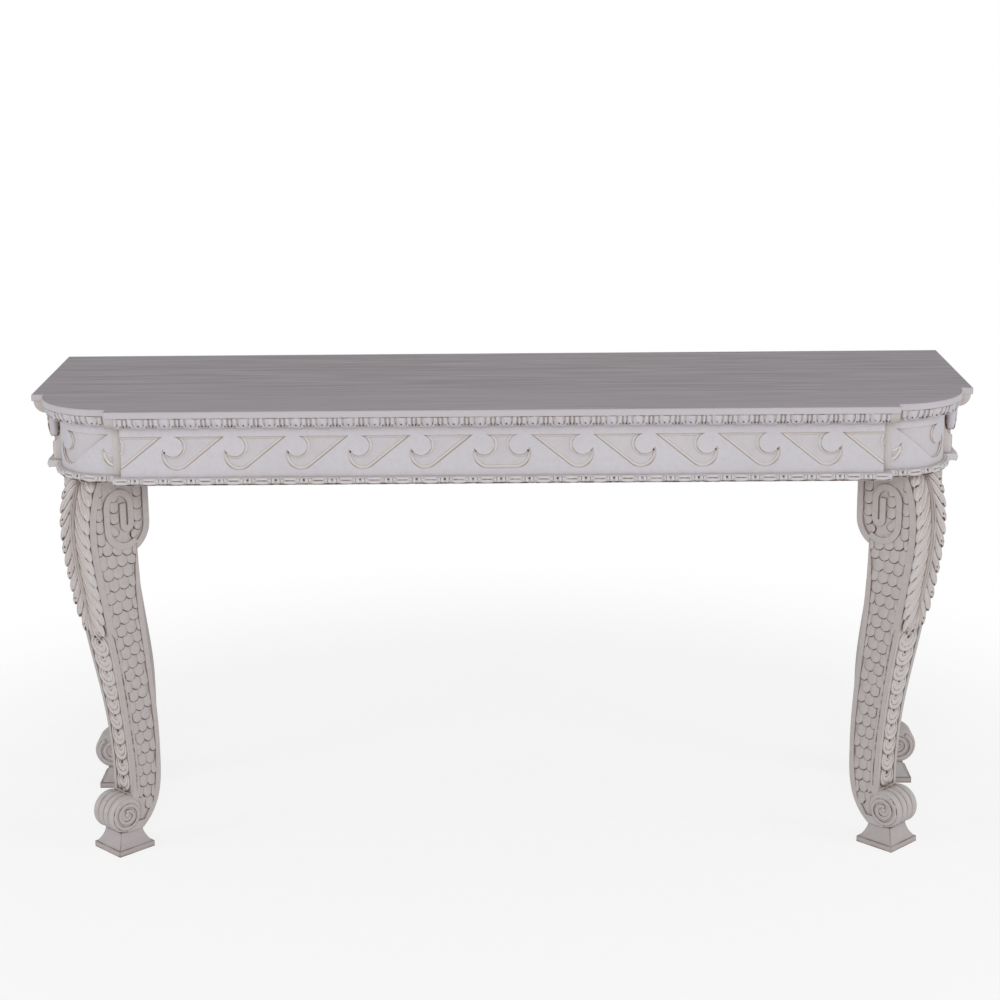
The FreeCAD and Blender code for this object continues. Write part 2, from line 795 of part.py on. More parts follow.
save("top_board", top_board().cut(top_screws()))
save("cornice_front", front_moulding(cornice_section(), corner_x, apron_top - cornice_height, apron_top))
save_pair("cornice_corner", corner_moulding(cornice_section(), 0))
save_pair("cornice_side", side_moulding(cornice_section(), corner_y, apron_top - cornice_height, apron_top))
save("frieze_front", frieze_front())
save_pair("frieze_corner", frieze_corner())
save_pair("frieze_side", frieze_side())
save_pair("end_boss", end_boss())
save("bead_front", front_moulding(bead_section(), rail_half + bead_return, apron_bottom,
                                  apron_bottom + bead_height))
save_pair("bead_corner", corner_moulding(bead_section(), rail_end_setback - bead_return))
save_pair("bead_side", side_moulding(bead_section(), side_front - bead_return, apron_bottom,
                                     apron_bottom + bead_height))
save("back_rail", back_rail())
for bearer, name in zip(bearers(), ("left", "middle", "right")):
    save("bearer_" + name, bearer.cut(top_screws()))

carved_leg = leg()
carved_leaf = leaf()
carved_plinth = plinth()
for place in leg_places:
    name, angle, x, y = place
    save_pair(name + "_leg", turned(carved_leg, angle, x, y))
    save_pair(name + "_leaf", turned(carved_leaf, angle, x, y))
    save_pair(name + "_plinth", turned(carved_plinth, angle, x, y))
    save_pair(name + "_leg_block", leg_block(place))

save("leg_bolts", Part.makeCompound(at_all_legs(leg_bolt())))
save("foot_dowels", Part.makeCompound(at_all_legs(foot_dowel())))
save("top_screws", Part.makeCompound(top_screws()))
save("lap_screws", Part.makeCompound(lap_screws()))
save("rail_dowels", Part.makeCompound(rail_dowels()))
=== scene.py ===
# %% [markdown]
# # A carved and painted pier table
# The table stands against a wall: a grey top, an apron with a sunk wave scroll, and four scroll legs.
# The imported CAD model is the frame. It gives the boards, mouldings and sawn legs in their true places,
# in metres. Everything that a carver and a painter would add afterwards is made here and laid on it.

# %% Load the frame
import bmesh
import bpy
import math
from mathutils import Matrix, Vector
from mathutils.bvhtree import BVHTree


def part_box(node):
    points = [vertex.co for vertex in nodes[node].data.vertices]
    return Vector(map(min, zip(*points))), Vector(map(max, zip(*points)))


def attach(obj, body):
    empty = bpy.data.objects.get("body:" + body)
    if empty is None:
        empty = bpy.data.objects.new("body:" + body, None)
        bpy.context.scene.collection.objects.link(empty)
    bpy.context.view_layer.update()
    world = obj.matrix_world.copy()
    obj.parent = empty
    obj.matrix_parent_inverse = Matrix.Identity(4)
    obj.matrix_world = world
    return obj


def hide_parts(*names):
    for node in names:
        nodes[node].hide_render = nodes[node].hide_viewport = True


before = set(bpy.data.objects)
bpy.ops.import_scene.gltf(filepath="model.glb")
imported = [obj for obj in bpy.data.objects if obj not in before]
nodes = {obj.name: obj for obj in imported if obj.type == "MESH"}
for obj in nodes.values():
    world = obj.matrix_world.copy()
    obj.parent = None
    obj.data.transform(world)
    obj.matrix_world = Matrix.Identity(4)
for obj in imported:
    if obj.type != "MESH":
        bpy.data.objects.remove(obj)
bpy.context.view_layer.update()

mm = 0.001

# %% [markdown]
# ## Shader sums
# A painter's finish is a sum of masks: paint, glaze and painted shade in the hollows, and wear on the edges.
# Such sums could be wired by hand in the node editor, but they are easier to read as Python expressions.
# So one small class holds a socket. Plus, minus and times on it add Math nodes, and the other nodes that
# the finishes share are methods of it.

# %% A socket that can be added and multiplied
class Mask:
    def __init__(self, tree, socket=None):
        self.tree, self.socket = tree, socket

    def add(self, kind, settings, sockets, output=0):
        node = self.tree.nodes.new(kind)
        for key, value in settings.items():
            setattr(node, key, value)
        for key, value in sockets.items():
            if isinstance(value, Mask):
                self.tree.links.new(value.socket, node.inputs[key])
            else:
                node.inputs[key].default_value = value
        return Mask(self.tree, node.outputs[output])

    def into(self, node, name):
        self.tree.links.new(self.socket, node.inputs[name])

    def sum(self, operation, a, b=0.0):
        return self.add("ShaderNodeMath", {"operation": operation}, {0: a, 1: b})

    def __add__(self, other):
        return self.sum("ADD", self, other)

    def __radd__(self, other):
        return self.sum("ADD", other, self)

    def __sub__(self, other):
        return self.sum("SUBTRACT", self, other)

    def __rsub__(self, other):
        return self.sum("SUBTRACT", other, self)

    def __mul__(self, other):
        return self.sum("MULTIPLY", self, other)

    def __abs__(self):
        return self.sum("ABSOLUTE", self)

    def step(self, low, high):
        return self.add("ShaderNodeMapRange", {"interpolation_type": "SMOOTHSTEP"},
                        {"Value": self, "From Min": low, "From Max": high})

    def over(self, under, colour):
        return self.add("ShaderNodeMix", {"data_type": "RGBA"}, {0: self, 6: under, 7: colour}, 2)

    def part(self, axis):
        return self.add("ShaderNodeSeparateXYZ", {}, {0: self}, axis)

    def dot(self, other):
        return self.add("ShaderNodeVectorMath", {"operation": "DOT_PRODUCT"}, {0: self, 1: other}, "Value")

    def length(self):
        return self.add("ShaderNodeVectorMath", {"operation": "LENGTH"}, {0: self}, "Value")

    def stretched(self, scale):
        return self.add("ShaderNodeMapping", {}, {"Vector": self, "Scale": scale}, "Vector")

    def noise(self, scale, detail, distortion=0.0):
        sockets = {"Vector": self, "Scale": scale, "Detail": detail, "Distortion": distortion}
        return self.add("ShaderNodeTexNoise", {}, sockets, "Fac")

    def bump(self, strength, distance):
        sockets = {"Height": self, "Strength": strength, "Distance": distance}
        return self.add("ShaderNodeBump", {}, sockets, "Normal")


print("shader sums ready")

# %% Colours, and the start of every finish
def colour(red, green, blue):
    def linear(v):
        v = v / 255
        return v / 12.92 if v <= 0.04045 else ((v + 0.055) / 1.055) ** 2.4

    return (linear(red), linear(green), linear(blue), 1.0)


def new_finish(name):
    material = bpy.data.materials.new(name)
    material.use_nodes = True
    tree = material.node_tree
    place = Mask(tree).add("ShaderNodeTexCoord", {}, {}, "Object")
    return material, tree.nodes["Principled BSDF"], place


print("mid grey in linear light:", colour(128, 128, 128)[0])

# %% [markdown]
# ## Antiqued white paint
# The apron and legs are painted white. A thin brown glaze was wiped over the paint, and it stays in the
# hollows and along sharp edges as fine beige and brown lines. Painting those lines by hand would need an
# image. Ambient Occlusion finds the hollows and the Bevel node finds the edges. The beige and brown that
# Ambient Occlusion lays in the hollows is the glaze and also the shade that falls there: partly painted
# shade. Where the carving is too fine for that, a piece carries its own glaze and painted shade as a value
# on its points.

# %% White paint with glaze in hollows and on edges
def surface_normal(place):
    return place.add("ShaderNodeNewGeometry", {}, {}, "Normal")


def crevice(place, distance, samples=8):
    return 1 - place.add("ShaderNodeAmbientOcclusion", {"samples": samples}, {"Distance": distance}, "AO")


def sharp_edge(normal, radius):
    rounded = normal.add("ShaderNodeBevel", {"samples": 4}, {"Radius": radius}, "Normal")
    return 1 - rounded.dot(normal)


nook_reach = 24 * mm
spot_brown = colour(78, 57, 45)


def white_paint(name, paint, beige, brown, line, reach, darken_from, wear=1.6 * mm, facing=None):
    material, shader, place = new_finish(name)
    # Ambient Occlusion darkens hollows and recesses: glaze, and painted shade where shade falls.
    hollow, nook = crevice(place, reach), crevice(place, nook_reach, 6)
    cloud, blotch = place.noise(3.0, 2.0), place.noise(24.0, 5.0)
    patch, speck = place.noise(95.0, 3.0), place.noise(260.0, 3.0)
    normal = surface_normal(place)
    duller = tuple(0.955 * c for c in paint[:3]) + (1.0,)
    body = cloud.step(0.3, 0.7).over(duller, paint)
    body = (speck.step(0.45, 0.75) * 0.10 + patch.step(0.42, 0.72) * 0.16).over(body, beige)
    body = (nook.step(0.20, 0.80) * (0.25 + blotch * 0.55)).over(body, beige)
    body = (nook.step(0.34, 0.80) * 0.4).over(body, brown)
    if facing:
        body = paint_wave_scroll(body, line, blotch, normal, *facing(place, normal))
    worn = sharp_edge(normal, wear).step(0.004, 0.035) * (0.35 + blotch.step(0.36, 0.60) * 0.60)
    body = worn.over(body, line)
    glaze_and_shade = place.add("ShaderNodeAttribute", {"attribute_name": "glaze_and_shade"}, {}, "Fac")
    # Brown and the darkest spots, from hollows and each piece's own value: glaze and painted shade.
    caught = hollow + glaze_and_shade * (0.55 + patch.step(0.38, 0.62) * 0.7)
    glaze_and_shade_brown = (caught + (blotch - 0.5) * 0.4).step(darken_from, darken_from + 0.40)
    body = (glaze_and_shade_brown * 0.85).over(body, brown)
    spot = (caught + (patch - 0.5) * 0.9).step(darken_from + 0.38, darken_from + 0.70)
    (spot * 0.9).over(body, spot_brown).into(shader, "Base Color")
    (0.50 + speck * 0.16 + glaze_and_shade_brown * 0.15).into(shader, "Roughness")
    (speck * 0.5 + blotch).bump(0.12, 0.6 * mm).into(shader, "Normal")
    shader.inputs["Specular IOR Level"].default_value = 0.35
    print("paint:", name)
    return material


# %% [markdown]
# On the frieze the sloping walls of the sunk wave scroll are painted paler and creamier than the flat face.
# A wall is known by its direction: it doesn't face straight out of the rail, or out of the round corner,
# that it is cut into. The depth tells the wall's rim and foot, where thin lines of glaze stay, and the
# floor, which is painted a little darker. The rim lines are darkest on slanting walls, as painted shade.
# The steep walls in the round corners come out too dark in this light, so their paint is the palest:
# painted light that offsets their shade.

# %% Walls and floor of the wave scroll, by direction and depth
dull_floor = colour(192, 187, 188)


def paint_wave_scroll(body, line, blotch, normal, toward, depth, pale):
    wall = (1 - toward).step(0.10, 0.24)
    upward = normal.part("Z") * normal.part("Z")
    slant = (upward * (1 - toward * toward - upward)).step(0.008, 0.04)
    body = (depth.step(3 * mm, 4.5 * mm) * 0.35).over(body, dull_floor)
    body = (wall * 0.8).over(body, pale)
    # Glaze lines at the rim, darkest on slanting walls: glaze and painted shade.
    rim = wall * (1 - depth.step(1.0 * mm, 2.2 * mm)) * (0.18 + blotch * 0.3 + slant * 0.34)
    foot = wall * depth.step(3.8 * mm, 4.8 * mm) * (0.05 + blotch * 0.15)
    return (rim + foot).over(body, line)


front_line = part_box("frieze_front")[0].y
side_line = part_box("frieze_side_left")[0].x
corner_middle = Vector((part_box("cornice_front")[0].x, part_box("cornice_side_left")[0].y))
corner_radius = corner_middle.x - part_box("frieze_corner_left")[0].x
# The corner walls' paint is lightened to offset their shade: painted light.
pale_wall, corner_wall_painted_light = colour(211, 206, 204), colour(252, 247, 243)


def faces_front(place, normal):
    return abs(normal.part("Y")), place.part("Y") - front_line, pale_wall


def faces_side(place, normal):
    return abs(normal.part("X")), -side_line - abs(place.part("X")), pale_wall


def faces_corner(place, normal):
    side = place.sum("SIGN", place.part("X"))
    out = place.add("ShaderNodeCombineXYZ", {}, {"X": side * place.part("X") + corner_middle.x,
                                                 "Y": place.part("Y") - corner_middle.y})
    outward = out.add("ShaderNodeVectorMath", {"operation": "NORMALIZE"}, {0: out})
    facing = place.add("ShaderNodeCombineXYZ", {}, {"X": side * normal.part("X"), "Y": normal.part("Y")})
    return outward.dot(facing), corner_radius - out.length(), corner_wall_painted_light


print("frieze: face at", round(front_line, 4), "corner radius", round(corner_radius, 4))

# %% Paint for the mouldings, the frieze, the legs and the plinths
apron_beige, apron_brown, apron_line = colour(176, 164, 154), colour(112, 88, 70), colour(134, 113, 95)
leg_beige, carved_brown = colour(166, 150, 138), colour(104, 82, 66)


def frieze_paint(name, facing=None):
    return white_paint(name, colour(202, 199, 205), apron_beige, apron_brown, apron_line,
                       reach=3.5 * mm, darken_from=0.42, wear=1.0 * mm, facing=facing)


apron_paint = frieze_paint("white_paint_mouldings")
front_paint = frieze_paint("white_paint_front", faces_front)
side_paint = frieze_paint("white_paint_sides", faces_side)
corner_paint = frieze_paint("white_paint_corners", faces_corner)
ground_paint = white_paint("white_paint_cornice", colour(193, 187, 185), colour(166, 150, 136),
                           colour(96, 72, 56), colour(146, 126, 108), reach=4 * mm, darken_from=0.36)
leg_paint = white_paint("white_paint_legs", colour(192, 186, 186), leg_beige,
                        colour(112, 87, 69), colour(150, 132, 118), reach=2.6 * mm, darken_from=0.38)
# The carving and the bead take lighter copies of the white: painted light for the light falling on them.
carved_paint = white_paint("white_paint_carving", colour(205, 199, 199), colour(172, 158, 147),
                           carved_brown, colour(156, 139, 126), reach=2.6 * mm, darken_from=0.40)
bead_paint = white_paint("white_paint_bead", colour(209, 205, 208), apron_beige,
                         carved_brown, apron_line, reach=3.5 * mm, darken_from=0.42, wear=1.0 * mm)
# The plinths' wide reach lets Ambient Occlusion brown their feet where they stand on the floor: painted
# shade.
foot_paint = white_paint("white_paint_plinths", colour(187, 181, 182), leg_beige,
                         colour(84, 60, 46), colour(108, 83, 66), reach=8 * mm, darken_from=0.30, wear=3 * mm)

# %% [markdown]
# ## Grey top
# The top's face is painted a soft grey, dragged with a wide brush along the length, so faint streaks run
# from side to side. Towards the front edge the grey is painted lighter: painted light. Its edge is white
# like the apron, browned low down where it meets the moulding: glaze and painted shade. One board carries
# both colours: the finish looks at which way a face points, grey where it faces up and white elsewhere, so
# no seam has to be cut into the board.

# %% Grey brushed face and white edge
edge_reach = 5 * mm


def top_finish():
    material, shader, place = new_finish("grey_top_paint")
    streak = place.stretched((1.6, 55.0, 1.0)).noise(3.0, 6.0)
    cloud, speck = place.noise(3.4, 3.0), place.noise(300.0, 2.0)
    normal = surface_normal(place)
    rim = sharp_edge(normal, edge_reach)
    grey = streak.step(0.36, 0.64).over(colour(121, 113, 119), colour(160, 153, 158))
    grey = (cloud.step(0.42, 0.70) * 0.40).over(grey, colour(139, 133, 135))
    # Lighter towards the front edge: painted light.
    grey = ((0 - place.part("Y")).step(0.02, 0.21) * 0.45).over(grey, colour(156, 149, 155))
    grey = (rim.step(0.004, 0.06) * 0.6).over(grey, colour(112, 103, 104))
    # The edge browns in its hollows: glaze and painted shade.
    hollow = crevice(place, edge_reach) + (cloud - 0.5) * 0.2
    edge = hollow.step(0.36, 0.80).over(colour(190, 186, 192), apron_brown)
    edge = (rim.step(0.02, 0.12) * 0.5).over(edge, apron_beige)
    normal.part("Z").step(0.80, 0.95).over(edge, grey).into(shader, "Base Color")
    (0.42 + streak * 0.18).into(shader, "Roughness")
    (streak + speck * 0.2).bump(0.12, 0.5 * mm).into(shader, "Normal")
    return material


grey_top = top_finish()
print("top finish:", grey_top.name)

# %% [markdown]
# ## Bare wood and steel inside
# Behind the apron the wood was never painted: a pale hardwood, sawn and left. Its grain runs along each
# piece, so the pattern is stretched along the length of the rail, bearer or block. The screws are plain
# zinc-grey steel.

# %% Bare wood with the grain along one axis
def bare_wood(name, along):
    material, shader, place = new_finish(name)
    drawn = place.stretched(tuple(3.0 if axis == along else 42.0 for axis in range(3)))
    grain, pore = drawn.noise(1.6, 6.0, 0.6), drawn.noise(14.0, 3.0)
    tone = grain.step(0.34, 0.68).over(colour(150, 116, 82), colour(186, 152, 114))
    (pore.step(0.56, 0.72) * 0.5).over(tone, colour(116, 84, 56)).into(shader, "Base Color")
    (0.62 + grain * 0.2).into(shader, "Roughness")
    (pore + grain).bump(0.25, 0.5 * mm).into(shader, "Normal")
    return material


wood_across, wood_deep, wood_tall = [bare_wood("bare_wood_" + name, axis)
                                     for axis, name in enumerate(("across", "deep", "tall"))]
print("bare wood in three grain directions")

# %% Steel for screws and bolts
def plain_steel():
    material, shader, place = new_finish("steel_fixings")
    turn = place.noise(420.0, 3.0)
    turn.step(0.3, 0.7).over(colour(128, 128, 130), colour(166, 166, 168)).into(shader, "Base Color")
    (0.32 + turn * 0.2).into(shader, "Roughness")
    shader.inputs["Metallic"].default_value = 1.0
    return material


steel = plain_steel()
print("steel finish:", steel.name)

# %% Give every CAD node its finish, by the first of these words in its name
finishes = {
    "top_board": grey_top, "_bolts": steel, "_screws": steel, "bearer": wood_deep,
    "back_rail": wood_across, "rail_dowels": wood_across, "leg_block": wood_tall, "foot_dowels": wood_tall,
    "_plinth_": foot_paint, "_leg_": leg_paint, "_leaf_": leg_paint, "cornice": ground_paint,
    "bead": bead_paint, "end_boss": apron_paint, "frieze_front": front_paint, "frieze_side": side_paint,
    "frieze_corner": corner_paint}
for name, node in nodes.items():
    if not node.material_slots:
        node.data.materials.append(None)
    for place in node.material_slots:
        place.material = next(finish for word, finish in finishes.items() if word in name)
print("finished", len(nodes), "CAD nodes")

# %% [markdown]
# ## Ways to place carving
# Each ornament is modelled flat on the bench, as a carver draws it, and then laid on the surface that
# carries it. A shape that comes many times, such as a scale or a lobe, is made once as a pattern and stamped
# where it is needed. The legs differ only by where they stand and which way they face, so leg carving is
# made once in the leg's own directions: X towards its knee, Y across, Z up. The right legs are mirror images
# of the left ones.

# %% Patterns and pieces
crease = math.radians(48)


def bench():
    shape = bmesh.new()
    return shape, shape.verts.layers.float.new("glaze_and_shade")


def pattern(shape, name="pattern"):
    bmesh.ops.recalc_face_normals(shape, faces=shape.faces)
    mesh = bpy.data.meshes.new(name)
    shape.to_mesh(mesh)
    shape.free()
    return mesh


def stamp(shape, mesh, place=Matrix.Identity(4)):
    first = len(shape.verts)
    shape.from_mesh(mesh)
    shape.verts.ensure_lookup_table()
    bmesh.ops.transform(shape, matrix=place, verts=shape.verts[first:])


def piece(name, shape, finish, *replaced):
    for face in shape.faces:
        face.smooth = True
    mesh = pattern(shape, name)
    mesh.set_sharp_from_angle(angle=crease)
    mesh.materials.append(finish)
    made = bpy.data.objects.new(name, mesh)
    bpy.context.scene.collection.objects.link(made)
    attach(made, "root")
    if replaced:
        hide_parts(*replaced)
    print(name, len(mesh.polygons), "faces")


# %% The places of the legs
mirrored = Matrix.Scale(-1, 4, (1, 0, 0))
knee_degrees = {"front": 225, "back": 180}


def shift(x, y, z):
    return Matrix.Translation((x, y, z))


def turned(degrees, axis):
    return Matrix.Rotation(math.radians(degrees), 4, axis)


def leg_stand(end, side):
    low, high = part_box(end + "_plinth_left")
    middle = (low + high) / 2
    place = shift(middle.x, middle.y, 0) @ turned(knee_degrees[end], "Z")
    return place if side == "left" else mirrored @ place


def at_each_leg(name, carved, finish, replaced=None):
    for end in ("front", "back"):
        for side in ("left", "right"):
            copy = carved.copy()
            copy.transform(leg_stand(end, side))
            hidden = [f"{end}_{replaced}_{side}"] if replaced else []
            piece(f"{end}_{name}_{side}", copy, finish, *hidden)
    carved.free()


def everything(shape):
    return shape.verts[:] + shape.edges[:] + shape.faces[:]


def mirror_copy(shape, axis):
    bmesh.ops.mirror(shape, geom=everything(shape), matrix=Matrix.Identity(4), merge_dist=0.0, axis=axis)


print("front left leg at", leg_stand("front", "left").translation)

# %% Feel the leg's surface with straight rays
def weld(shape):
    bmesh.ops.remove_doubles(shape, verts=shape.verts, dist=1e-6)


def feel_leg():
    copy = bmesh.new()
    copy.from_mesh(nodes["front_leg_left"].data)
    weld(copy)
    copy.transform(leg_stand("front", "left").inverted())
    feel = BVHTree.FromBMesh(copy)
    copy.free()
    return feel


leg_feel = feel_leg()
roll_out, roll_up, roll_half, roll_clear = 12.4 * mm, 76.5 * mm, 30.8 * mm, 37.5 * mm
panel_least, panel_most = 2.4 * mm, 4.6 * mm


def side_at(out, up):
    hit = leg_feel.ray_cast(Vector((out, 0.2, up)), Vector((0, -1, 0)))[0]
    return hit.y if hit and hit.y > 0 else None


def front_at(up):
    return leg_feel.ray_cast(Vector((0.3, 0.0, up)), Vector((-1, 0, 0)))[0].x


def panel_at(up):
    across = [i * mm for i in range(-80, 76)]
    clear = [out for out in across if math.hypot(out - roll_out, up - roll_up) > roll_clear]
    samples = [(out, side_at(out, up)) for out in clear if side_at(out, up)]
    band = max(depth for out, depth in samples)
    sunk = [(out, depth) for out, depth in samples if panel_least < band - depth < panel_most]
    floors = sorted(depth for out, depth in sunk)
    return sunk[0][0], sunk[-1][0], floors[len(floors) // 2]


print("panel halfway down:", [round(v / mm, 1) for v in panel_at(372 * mm)], "mm")

# %% [markdown]
# ## Scales on the sides of the legs
# Fish scales cover the sunk side panels, in staggered rows whose lower ends stand proud of the row below.
# They could be a bump texture, but the photograph shows their edges against the light, so each one is a thin
# tile. A tile starts as a flat rectangle. Its two lower corners are rounded by a bevel, it is extruded to
# its thickness, and three insets give it a crowned face. Its rounded end is browned, darkest where two
# scales meet: glaze and the painted shadow that the tile's lower edge casts on the row below.

# %% One scale, with the middle of its lower end at the origin
def only(kind, geom):
    return [part for part in geom if isinstance(part, kind)]


def sheet(shape, width, length, middle, up=0.0, columns=1, rows=1):
    made = bmesh.ops.create_grid(shape, x_segments=columns, y_segments=rows, size=0.5)["verts"]
    bmesh.ops.scale(shape, verts=made, vec=(width, length, 1))
    bmesh.ops.translate(shape, verts=made, vec=(0, middle, up))
    return made


def rounded_tile(shape, width, length, middle, up, corner, thick, crown):
    lower = [v for v in sheet(shape, width, length, middle, up) if v.co.y < middle]
    bmesh.ops.bevel(shape, geom=lower, offset=corner, offset_type="OFFSET", segments=4, profile=0.5,
                    affect="VERTICES", material=-1)
    raised = bmesh.ops.extrude_face_region(shape, geom=shape.faces[:])["geom"]
    bmesh.ops.translate(shape, verts=only(bmesh.types.BMVert, raised), vec=(0, 0, thick))
    lid = only(bmesh.types.BMFace, raised)
    for inward, lift in crown:
        bmesh.ops.inset_region(shape, faces=lid, thickness=inward * mm, depth=lift * mm)


tile_width, tile_length, tile_thick = 22 * mm, 33.5 * mm, 3.2 * mm
tile_lift, tile_degrees = 2.6 * mm, -7
end_glaze_and_shade_reach = 8 * mm


def scale_pattern():
    shape, glaze_and_shade = bench()
    rounded_tile(shape, tile_width, tile_length, middle=tile_length / 2, up=-tile_thick, corner=8.2 * mm,
                 thick=tile_thick, crown=((2.4, 1.0), (2.4, 0.8), (2.4, 0.3)))
    for v in shape.verts:
        # The lower end is browned: glaze and painted shadow.
        low_end = min(1.4 * max(1 - v.co.y / end_glaze_and_shade_reach, 0), 1)
        if v.co.z < 0.1 * mm:
            v[glaze_and_shade] = (0.75 + 1.4 * abs(v.co.x) / end_glaze_and_shade_reach) * low_end
    return pattern(shape)


def lay_scale(shape, out, up, heading, width, length, floor_at, lean=0.0):
    ahead = Vector((math.sin(heading), 0, math.cos(heading)))
    face = Vector((0, 1, lean)).normalized()
    across = ahead.cross(face).normalized()
    turn = Matrix((across, face.cross(across), face)).transposed().to_4x4()
    size = Matrix.Diagonal((width / tile_width, length / tile_length, 1, 1))
    stamp(shape, scale_tile, shift(out, floor_at + tile_lift, up) @ turn @ turned(tile_degrees, "X") @ size)


scale_tile = scale_pattern()
print("one scale:", len(scale_tile.polygons), "faces")

# %% Rows of scales down the panel
row_count, row_step, first_row, last_feel = 23, 22.3 * mm, 588 * mm, 592 * mm
narrow, wide = 18.6 * mm, 21.8 * mm
feel_near, feel_far, tuck = 8 * mm, 20 * mm, 3 * mm


def within(value, low, high):
    return min(max(value, low), high)


def scale_rows(shape):
    count = 0
    for row in range(row_count):
        up = first_row - row * row_step
        back, front, floor_at = panel_at(up + feel_near)
        above = min(up + feel_far, last_feel)
        back_above, front_above, floor_above = panel_at(above)
        rise = max(above - up - feel_near, 4 * mm)
        heading = math.atan2((back_above + front_above - back - front) / 2, rise)
        lean = -(floor_above - floor_at) / rise
        width = narrow + (wide - narrow) * within((up - 200 * mm) / (250 * mm), 0, 1)
        middle = (back + front) / 2
        for column in range(-3, 4):
            centre = (column + 0.5 * (row % 2)) * width
            start = max(centre - width / 2, back - middle - tuck)
            end = min(centre + width / 2, front - middle + tuck)
            if end - start > 0.35 * width:
                aside = (start + end) / 2
                by_hand = 0.7 * mm * math.sin(12.9 * row + 7.3 * column)
                out, low = middle + aside * math.cos(heading), up - aside * math.sin(heading) + by_hand
                lay_scale(shape, out, low, heading, end - start, row_step * 1.5, floor_at, lean)
                count += 1
    return count


scales = bench()[0]
print("scales in rows:", scale_rows(scales))

# %% Single scales round the volute, and one at the heel: out, up, degrees of turn, width
winding = [
    (41.0, 704, 0, 17), (41.5, 682, 0, 17), (42.0, 659, 0, 17), (41.5, 636, 0, 17), (40.5, 612, 4, 18),
    (-43.0, 715, 0, 19), (-43.0, 692, 0, 19), (-43.0, 668, 0, 19), (-42.0, 645, 0, 19),
    (-37.0, 630, 28, 18), (-25.0, 619, 60, 15),
    (9.0, 690, 0, 19), (9.0, 669, 0, 19), (8.0, 648, -4, 19), (3.0, 627, -45, 16), (-39.0, 74, 15, 18)]
single_length, panel_low, panel_high = 30 * mm, 100 * mm, 560 * mm
for out, up, degrees, width in winding:
    floor_at = panel_at(within(up * mm, panel_low, panel_high))[2]
    lay_scale(scales, out * mm, up * mm, -math.radians(degrees), width * mm, single_length, floor_at)
print("single scales:", len(winding))
mirror_copy(scales, "Y")
at_each_leg("scales", scales, leg_paint)

# %% [markdown]
# ## Scored line beside the shin
# A thin line is scored down each side of the shin, a finger's width from the front edge, and glaze fills it.
# On the real leg it is cut with a marking gauge. Here it is a narrow dark strip on the side, since a cut so
# thin wouldn't show: the glaze in it and its painted shade.

# %% Strip along the band
score_low, score_high, score_inward, score_width = 118 * mm, 440 * mm, 7.6 * mm, 2.4 * mm


def scored_line():
    shape, glaze_and_shade = bench()
    sheet(shape, score_width, score_high - score_low, (score_low + score_high) / 2, -0.3 * mm, 2, 40)
    bmesh.ops.solidify(shape, geom=shape.faces[:], thickness=-0.8 * mm)
    for v in shape.verts:
        out, up = front_at(v.co.y) - score_inward + v.co.x, v.co.y
        v[glaze_and_shade] = 0.75 if abs(v.co.x) < 1 * mm else 0.4
        v.co = Vector((out, side_at(out, up) + v.co.z, up))
    return shape


score = scored_line()
mirror_copy(score, "Y")
at_each_leg("scored_lines", score, leg_paint)

# %% [markdown]
# ## Husk chain down the shin
# Below the leaf a chain of round husks runs down the hollow front of each leg, each overlapping the next,
# with a small dark eye near its top and rings round it. A lathe would make such rings by turning. Here each
# husk is a flat cone whose face is inset again and again, up and down in turn. Each inset slides up a
# little, so the rings crowd at the top. The husk is then tipped so that its lower edge stands proud. Its
# foot, its sunk rings and its eye are darkened: glaze and painted shade.

# %% Lay flat carving on the front of the leg
leaf_low, leaf_high = [corner.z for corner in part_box("front_leaf_left")]
feel_span = 12 * mm


def lay_on_front(shape):
    for v in shape.verts:
        across, up, proud = v.co
        above = min(up + feel_span / 2, leaf_high - 1 * mm)
        slope = (front_at(above) - front_at(above - feel_span)) / feel_span
        normal = Vector((1, 0, -slope)).normalized()
        v.co = Vector((front_at(up), across, up)) + normal * proud


print("leaf from", round(leaf_low, 4), "to", round(leaf_high, 4))

# %% One husk, with its rings given as inset, lift, slide and glaze with painted shade
husk_radius = 22 * mm
husk_rings = ((4.6, 0.9, 0.8, 0.0), (1.6, -1.7, 0.9, 0.50), (1.3, 1.5, 0.6, 0.0),
              (4.4, 0.5, 1.9, 0.0), (1.5, -1.6, 0.9, 0.50), (1.2, 1.3, 0.5, 0.0),
              (1.6, 0.1, 0.7, 0.1), (1.9, -2.8, 0.6, 1.1))


def husk_pattern():
    shape, glaze_and_shade = bench()
    bmesh.ops.create_cone(shape, cap_ends=True, segments=24, radius1=husk_radius,
                          radius2=husk_radius - 1.2 * mm, depth=4.4 * mm)
    lid = max(shape.faces, key=lambda face: face.calc_center_median().z)
    for v in shape.verts:
        v[glaze_and_shade] = 0.8 if v.co.z < 0 else 0.1
    for inward, lift, slide, dark in husk_rings:
        bmesh.ops.inset_region(shape, faces=[lid], thickness=inward * mm, depth=lift * mm)
        bmesh.ops.translate(shape, verts=lid.verts[:], vec=(0, slide * mm, 0))
        for v in lid.verts:
            v[glaze_and_shade] = dark
    return pattern(shape)


husk = husk_pattern()
print("one husk:", len(husk.polygons), "faces")

# %% The chain of husks, by the heights of their eyes
husk_eyes = (418, 388, 357, 328, 298, 267, 235, 204, 171, 138)
husk_degrees = -6.5
band_rise, band_width, husk_gap = 3.5 * mm, 8 * mm, 0.6 * mm
husks = bench()[0]
for eye in husk_eyes:
    up = (eye - 6) * mm
    half = panel_at(up)[2] + band_rise - band_width - husk_gap
    size = Matrix.Diagonal((half / husk_radius, 1, 1, 1))
    stamp(husks, husk, shift(0, up, 0.8 * mm) @ turned(husk_degrees, "X") @ size)
lay_on_front(husks)
at_each_leg("husks", husks, carved_paint)

